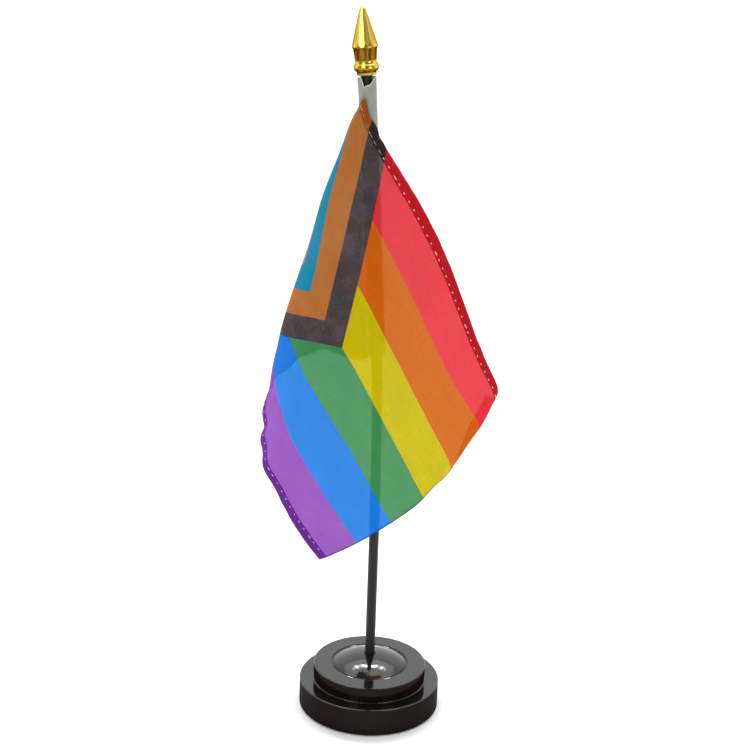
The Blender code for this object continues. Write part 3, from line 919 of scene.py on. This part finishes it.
def sleeve_point(turn, t):
    """A point on the sleeve: turn is a heading in degrees and t runs from its foot to its top."""
    foot, up, side, front, length = sleeve_frame()
    across, ahead = cos(radians(turn)), sin(radians(turn))
    past_notch = turned_past(turn, NOTCH_TURN)
    notch = NOTCH_DEPTH * max(0.0, 1.0 - abs(past_notch) / (NOTCH_WIDE if past_notch > 0 else NOTCH_STEEP))
    flap = FLAP_RISE * exp(-((abs(past_notch) - NOTCH_STEEP) / FLAP_WIDE) ** 2)
    ragged = SLEEVE_RAGGED * noise.noise(Vector((across, ahead, 5.0)) * 2.0)
    top = length + SLEEVE_EXTRA - notch + flap + ragged
    height = t * top + (1.0 - t) * 2.0 * ragged
    to_seam = max(0.0, cos(radians(turned_past(turn, SLEEVE_SEAM_TURN))))
    radius = SLEEVE_R + (SLEEVE_SEAM_R - SLEEVE_R) * to_seam**SEAM_SHARPNESS
    spot = Vector((WRINKLES_ROUND * across, WRINKLES_ROUND * ahead, height / WRINKLE_HEIGHT))
    small = SMALL_WRINKLE_SHARE * noise.noise(spot * SMALL_WRINKLE_SCALE)
    radius += SLEEVE_WRINKLE * (noise.noise(spot) + small)
    near_top = max(0.0, (height - length + FLARE_HEIGHT) / FLARE_HEIGHT)
    radius += SLEEVE_FLARE * near_top**2 * exp(-((abs(past_notch) - FLARE_PLACE) / FLARE_WIDE) ** 2)
    return foot + up * height + (across * side + ahead * front) * radius


def make_sleeve_seam(thread):
    """The two rows of stitches that close the sleeve, one on each side of its seam."""
    foot, up, _, _, length = sleeve_frame()
    parts = []
    along = SEAM_FOOT
    while along < length - SEAM_HIDDEN_ABOVE:
        for aside, dash in ((SEAM_HALF_TURN, STITCH_DOT), (-SEAM_HALF_TURN, STITCH_DASH)):
            path = []
            for i in range(SEAM_ARCH_PIECES + 1):
                spot = sleeve_point(SLEEVE_SEAM_TURN + aside, (along + dash * i / SEAM_ARCH_PIECES) / length)
                axis_point = foot + up * (spot - foot).dot(up)
                rise = SEAM_ARCH_RISE * sin(pi * i / SEAM_ARCH_PIECES) ** 0.5
                lift = THREAD_R * (rise - SEAM_ARCH_SINK)
                path.append(spot + (spot - axis_point).normalized() * lift)
            parts.append(grid_mesh("stitch", tube_rows(path, THREAD_R, THREAD_SIDES), ring=True))
        along += STITCH_PITCH
    return join_meshes("sleeve_stitches", parts, thread)


def make_sleeve(finish, edge_finish, thread):
    turns = [SLEEVE_SEAM_TURN + 360.0 * k / SLEEVE_SIDES for k in range(SLEEVE_SIDES)]
    steps = spread(0.0, FINE_FROM, SLEEVE_STEP)[:-1] + spread(FINE_FROM, 1.0, FINE_STEP)
    rows = [[sleeve_point(turn, t) for turn in turns] for t in steps]
    round_u = [(turn - SLEEVE_SEAM_TURN) / 360.0 * SLEEVE_ROUND for turn in turns]
    flats = [[(u, t * FLAG_HEIGHT) for u in round_u] for t in steps]
    sleeve = add_object("sleeve", grid_mesh("sleeve", rows, flats, ring=True), finish)
    thick = sleeve.modifiers.new("Thickness", "SOLIDIFY")
    thick.thickness = SLEEVE_THICK
    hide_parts("hoist_sleeve")

    edges = []
    for t in (0.0, 1.0):
        ring = [sleeve_point(turn, t) for turn in turns + turns[:1]]
        edge_rows = tube_rows(ring, SLEEVE_EDGE_R, closed_ends=False)
        edge_flats = [[(0.0, t * FLAG_HEIGHT)] * len(edge_rows[0]) for _ in edge_rows]
        edges.append(grid_mesh("edge", edge_rows, edge_flats, ring=True))
    rolled = join_meshes("sleeve_edges", edges, edge_finish)
    seam = make_sleeve_seam(thread)
    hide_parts("sleeve_thread")
    for piece, slot in ((sleeve, "sleeve_cloth"), (rolled, "sleeve_cloth"), (seam, "white_thread")):
        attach(piece, "flag")
    return [sleeve, rolled, seam]


# ---------------------------------------------------------------- the finial

def arc(centre, radius, start, end, steps):
    """Points round part of a circle, from one heading to another in degrees."""
    turns = [radians(start + (end - start) * i / steps) for i in range(steps + 1)]
    return [(centre[0] + radius * cos(turn), centre[1] + radius * sin(turn)) for turn in turns]


def finial_profile():
    """The finial's outline as (radius, height), from its tip down and up into its socket."""
    tip = arc((0.0, FINIAL_LENGTH - TIP_R), TIP_R, 88, 14, 10)
    shoulder = arc((SPEAR_R - SHOULDER_ROUND, SPEAR_WIDEST), SHOULDER_ROUND, 17, -52, 10)
    (tip_r, tip_z), (shoulder_r, shoulder_z) = tip[-1], shoulder[0]
    cone = []
    for i in range(1, CONE_RINGS):
        t = i / CONE_RINGS
        cone.append((tip_r + (shoulder_r - tip_r) * t, tip_z + (shoulder_z - tip_z) * t))
    neck = [(NECK_R, NECK_Z), (NECK_R - FOOT_ROUND / 2, NECK_Z - FOOT_ROUND)]
    neck.append((NECK_R - FOOT_ROUND / 2, NECK_Z - 2 * FOOT_ROUND))
    collar = arc((COLLAR_R - COLLAR_ROUND, COLLAR_MID_Z), COLLAR_ROUND, 50, -60, 16)
    foot = [(COLLAR_FOOT_R, FOOT_TOP_Z)]
    foot += arc((COLLAR_FOOT_R - FOOT_ROUND, FOOT_ROUND), FOOT_ROUND, 0, -90, 4)
    socket = [(SOCKET_R, 0.0), (SOCKET_R, SOCKET_DEPTH), (POLE_R, SOCKET_DEPTH)]
    return [(POLE_R, FINIAL_LENGTH)] + tip + cone + shoulder + neck + collar + foot + socket


def make_finial(finish):
    foot = staff_centre(FINIAL_FOOT_Z)
    lean = asin((FINIAL_FOOT_Z - STAFF_BEND_Z) / STAFF_BEND_R)
    up = Vector((-sin(lean), 0.0, cos(lean)))
    side = Vector((cos(lean), 0.0, sin(lean)))
    front = up.cross(side)
    rows = []
    for radius, height in finial_profile():
        on_spear = min(max((height - SPEAR_WIDEST) / FACETS_START_OVER, 0.0), 1.0)
        on_spear *= min(max((FINIAL_LENGTH - height) / FACETS_END_OVER, 0.0), 1.0)
        row = []
        for k in range(FINIAL_SIDES):
            turn = 2 * pi * k / FINIAL_SIDES
            within = (turn * FACETS / (2 * pi)) % 1.0 - 0.5
            flat = cos(pi / FACETS) / cos(2 * pi * within / FACETS)
            girth = radius * (1.0 - on_spear * (1.0 - flat) * FACET_DEPTH)
            row.append(foot + up * height + girth * (cos(turn) * side + sin(turn) * front))
        rows.append(row)
    finial = add_object("spear_finial", grid_mesh("spear_finial", rows, ring=True), finish)
    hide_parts("finial")
    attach(finial, "finial")
    return finial


# ---------------------------------------------------------------- putting the flag together

def make_flag():
    flats, rows = start_grid()
    rows = settle(flats, rows)
    surface = ClothSurface(rows)
    us = spread(HOIST_U, FLAG_LENGTH, FINE_CELL)
    vs = spread(0.0, FLAG_HEIGHT, FINE_CELL)
    fine = [[surface.place(u, v) for v in vs] for u in us]
    printed = cloth_paint("printed_cloth", printed_colour, 1.0, CLOTH_SHEER, CLOTH_GLOW)
    hemmed = cloth_paint("printed_hem", printed_colour, HEM_SHADE, HEM_SHEER, 0.0, SEWN_GRAIN, HEM_DEPTH)
    beaded = cloth_paint("printed_edge", printed_colour, EDGE_SHADE, 0.0, 0.0, SEWN_GRAIN, HEM_DEPTH)
    white = cloth_paint("sleeve_cloth", lambda paint: SLEEVE_WHITE, SLEEVE_SHADE, SLEEVE_SHEER, CLOTH_GLOW)
    rolled = cloth_paint("sleeve_edge", lambda paint: WHITE_PRINT, SLEEVE_SHADE, ROLLED_SHEER, 0.0)
    thread = thread_white()
    flag = add_object("flag", grid_mesh("flag", fine, [[(u, v) for v in vs] for u in us]), printed)
    thick = flag.modifiers.new("Thickness", "SOLIDIFY")
    thick.thickness = CLOTH_THICK
    thick.offset = 0.0
    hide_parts("flag_cloth")
    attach(flag, "flag")
    bottom_line = FLAG_HEIGHT - STITCH_IN
    pieces = [
        make_hem("top_edge_hem", surface, 0.0, 1.0, "top_hem", hemmed),
        make_hem("bottom_edge_hem", surface, FLAG_HEIGHT, -1.0, "bottom_hem", hemmed),
        make_stitches("top_stitches", surface, STITCH_IN, "top_hem_thread", thread),
        make_stitches("bottom_stitches", surface, bottom_line, "bottom_hem_thread", thread),
        make_edge_bead(surface, beaded),
    ]
    pieces += make_sleeve(white, rolled, thread)
    return flag


# ---------------------------------------------------------------- stage

FLOOR_REACH = 1.1

# The room's light, from in front of the object to behind it, and the soft boxes that the gloss
# reflects: how bright the room is across its width, from the left (0) to the right (1).
ROOM_LIGHT = 0.45
BACKDROP_LIGHT = 1.2
SKY_BANDS = (
    (0.0, 0.5), (0.18, 0.6), (0.24, 1.5), (0.40, 1.5), (0.47, 0.5),
    (0.62, 0.3), (0.68, 1.4), (0.76, 0.4), (1.0, 0.5),
)

# Each lamp's name, place, what it points at, size and power.
MIDDLE = (0.0, 0.0, 0.15)
LAMPS = (
    ("key", (-0.50, -0.80, 0.70), MIDDLE, (0.45, 0.45), 2.6),
    ("fill", (0.65, -0.75, 0.40), MIDDLE, (0.45, 0.45), 1.4),
    ("overhead", (0.0, 0.2, 1.5), (0.0, 0.2, 0.0), (2.0, 2.0), 14.0),
    ("strip", (0.0, 0.36, 0.85), (0.0, 0.0, 0.02), (0.70, 0.06), 3.0),
)


def make_floor():
    paint = Paint("pale_floor")
    paint.set(base_color=(0.92, 0.92, 0.92), roughness=0.9)
    mesh = bpy.data.meshes.new("floor")
    shape = bmesh.new()
    bmesh.ops.create_grid(shape, x_segments=1, y_segments=1, size=FLOOR_REACH)
    shape.to_mesh(mesh)
    shape.free()
    floor = add_object("floor", mesh, paint.material)


def make_sky():
    """A plain white backdrop, with banded soft light in front of the object for the gloss to reflect."""
    world = bpy.data.worlds.new("soft_white")
    bpy.context.scene.world = world
    world.use_nodes = True
    sky = Nodes(world.node_tree)
    right, back, _ = sky.split(sky.node("ShaderNodeTexCoord").outputs["Generated"])
    level = sky.between(back, ROOM_LIGHT, BACKDROP_LIGHT, -0.5, 0.15)
    bands = [(place, (light,) * 3) for place, light in SKY_BANDS]
    bands = sky.ramp(sky.between(right, 0.0, 1.0, -1.0, 1.0), bands)
    banded = sky.mix(sky.between(back, 0.0, 1.0, 0.1, -0.3), FULL, bands)
    lit = sky.node("ShaderNodeVectorMath", operation="SCALE")
    sky.plug(lit.inputs[0], banded)
    sky.plug(lit.inputs["Scale"], level)
    seen = sky.node("ShaderNodeLightPath").outputs["Is Camera Ray"]
    shown = sky.mix(seen, lit.outputs[0], (BACKDROP_LIGHT,) * 3)
    sky.plug(world.node_tree.nodes["Background"].inputs[0], shown)


def make_lamps():
    for name, place, target, size, power in LAMPS:
        data = bpy.data.lights.new(name, "AREA")
        data.shape = "RECTANGLE"
        data.size, data.size_y = size
        data.energy = power
        lamp = bpy.data.objects.new(name, data)
        bpy.context.scene.collection.objects.link(lamp)
        lamp.location = place
        lamp.rotation_euler = (Vector(target) - Vector(place)).to_track_quat("-Z", "Y").to_euler()


def make_camera():
    data = bpy.data.cameras.new("camera")
    data.lens = CAMERA_LENS
    data.sensor_width = CAMERA_SENSOR
    camera = bpy.data.objects.new("camera", data)
    bpy.context.scene.collection.objects.link(camera)
    turn = Matrix.Rotation(radians(CAMERA_TURN), 4, "Z")
    pitch = Matrix.Rotation(radians(90 - CAMERA_PITCH), 4, "X")
    roll = Matrix.Rotation(radians(CAMERA_ROLL), 4, "Z")
    camera.matrix_world = Matrix.Translation(CAMERA_PLACE) @ turn @ pitch @ roll
    bpy.context.scene.camera = camera
    bpy.context.scene.view_settings.view_transform = "Standard"


def paint_frame():
    """Materials for the CAD pieces that are shown as they are."""
    finishes = {
        "base_shell": black_gloss(), "base_pad": foam(), "ballast_disc": zinc(), "staff": black_satin(),
    }
    for name, material in finishes.items():
        nodes[name].data.materials.clear()
        nodes[name].data.materials.append(material)


make_camera()
make_floor()
make_sky()
make_lamps()
paint_frame()
make_finial(gold_plating())
make_flag()

bpy.context.view_layer.update()
